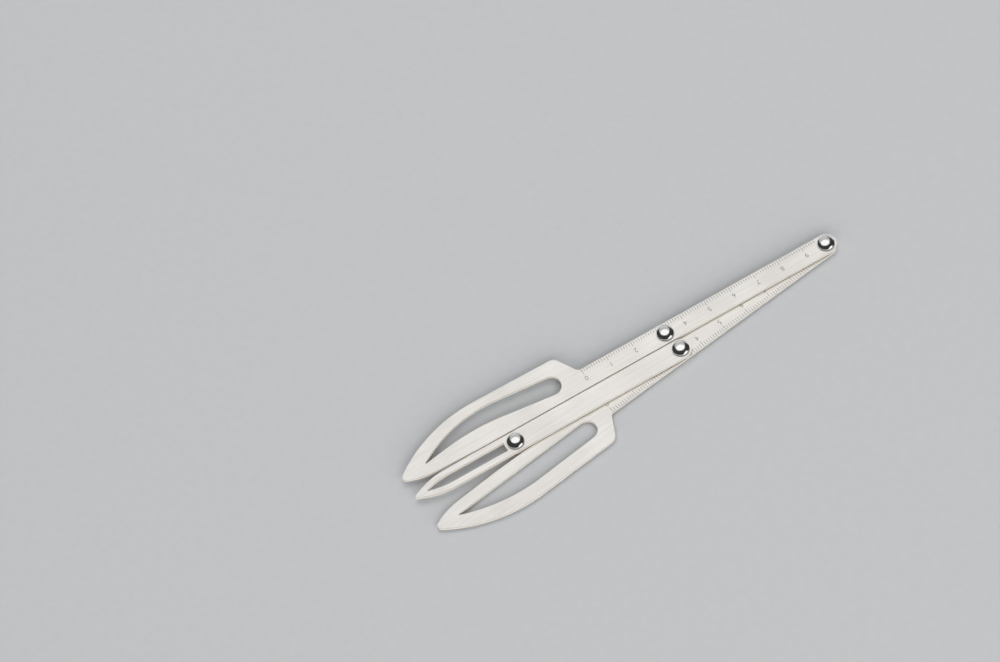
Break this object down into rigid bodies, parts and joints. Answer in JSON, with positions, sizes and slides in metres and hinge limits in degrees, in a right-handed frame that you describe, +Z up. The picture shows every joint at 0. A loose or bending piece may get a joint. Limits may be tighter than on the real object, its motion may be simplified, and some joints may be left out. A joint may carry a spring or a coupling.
{
  "type": "golden ratio caliper",
  "caption": "Flat steel parallelogram caliper whose middle point divides the span of its outer points in the golden ratio, with windowed blades and ruled edges.",
  "frame": {"origin": "on the apex pivot's axis, in the plane of the pins' flat heads that the caliper rests on", "axes": "+X along the bisector of the closed long arms towards their points, +Z up through the domed caps"},
  "size_m": [0.1747, 0.043, 0.0047],
  "materials": {
    "lower_arm_steel": "fine lengthwise brushed stainless steel",
    "upper_arm_steel": "fine lengthwise brushed stainless steel",
    "middle_arm_steel": "fine lengthwise brushed stainless steel",
    "short_link_steel": "fine lengthwise brushed stainless steel",
    "cap_steel": "mirror polished",
    "washer_steel": "polished",
    "pin_steel": "turned",
    "spacer_nylon": "smooth nylon"
  },
  "bodies": {
    "lower_arm": {"lower_arm": "lower_arm_steel", "apex_pin": "pin_steel", "apex_spacer": "spacer_nylon", "apex_washer": "washer_steel", "apex_cap": "cap_steel", "lower_pin": "pin_steel", "lower_spacer": "spacer_nylon", "lower_washer": "washer_steel", "lower_cap": "cap_steel"},
    "upper_arm": {"upper_arm": "upper_arm_steel"},
    "middle_arm": {"middle_arm": "middle_arm_steel"},
    "short_link": {"short_link": "short_link_steel", "upper_pin": "pin_steel", "upper_spacer": "spacer_nylon", "upper_washer": "washer_steel", "upper_cap": "cap_steel", "far_pin": "pin_steel", "far_spacer": "spacer_nylon", "far_washer": "washer_steel", "far_cap": "cap_steel"}
  },
  "joints": [
    {"name": "apex_pivot", "type": "hinge", "parent": "lower_arm", "child": "upper_arm", "pos_m": [0, 0, 0.00257], "axis": [0, 0, -1], "range_deg": [0, 160]},
    {"name": "lower_pivot", "type": "hinge", "parent": "lower_arm", "child": "middle_arm", "pos_m": [0.06538, 0.00406, 0.00257], "axis": [0, 0, -1], "range_deg": [0, 160]},
    {"name": "upper_pivot", "type": "hinge", "parent": "upper_arm", "child": "short_link", "pos_m": [0.06618, -0.00411, 0.0014], "axis": [0, 0, -1], "range_deg": [-160, 0]}
  ],
  "couplings": [
    {"joint": "lower_pivot", "follows": "apex_pivot", "ratio": 1},
    {"joint": "upper_pivot", "follows": "apex_pivot", "ratio": -1}
  ]
}
